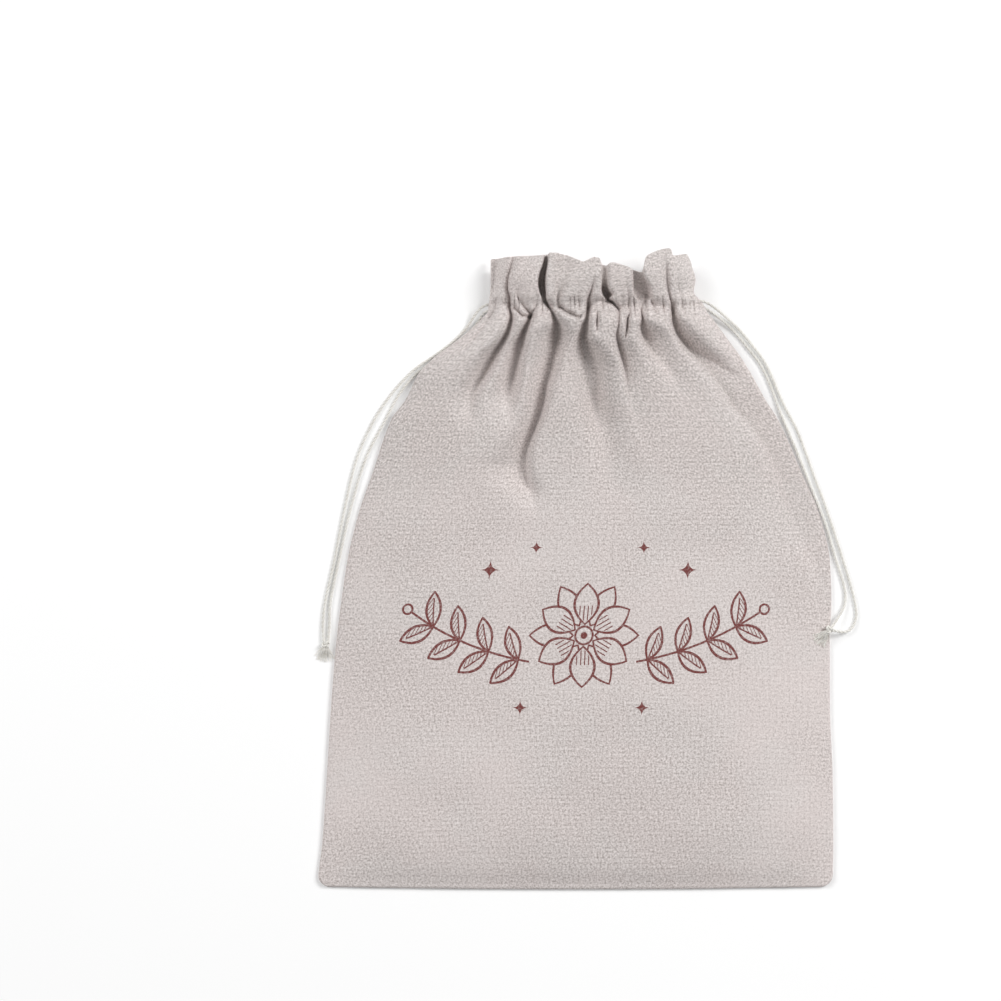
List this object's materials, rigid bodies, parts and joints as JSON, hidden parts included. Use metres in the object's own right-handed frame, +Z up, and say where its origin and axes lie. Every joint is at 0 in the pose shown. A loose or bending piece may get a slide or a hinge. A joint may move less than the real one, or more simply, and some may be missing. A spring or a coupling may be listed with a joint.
{
  "type": "linen bread bag",
  "caption": "Flat linen drawstring bread bag lying on its back, mouth gathered shut by a cord that leaves both sides in knotted, frayed ends.",
  "frame": {"origin": "on the surface that the bag lies on, under the middle of its length and width", "axes": "+X across the bag to the right as its front is seen, +Y up the bag to its drawn mouth, +Z up from the surface"},
  "size_m": [0.3172, 0.3733, 0.0255],
  "materials": {
    "linen_front": "plain-woven unbleached linen-cotton with slubs, a small one-colour print on the front",
    "linen_back": "plain-woven unbleached linen-cotton with slubs",
    "cotton_cord": "twisted undyed cotton cord",
    "cotton_knot": "knotted undyed cotton cord with a frayed end"
  },
  "bodies": {
    "root": {"front_panel": "linen_front", "back_panel": "linen_back", "left_cord_outer": "cotton_cord", "left_cord_inner": "cotton_cord", "right_cord_inner": "cotton_cord", "right_cord_outer": "cotton_cord", "left_knot": "cotton_knot", "right_knot": "cotton_knot"}
  },
  "joints": []
}
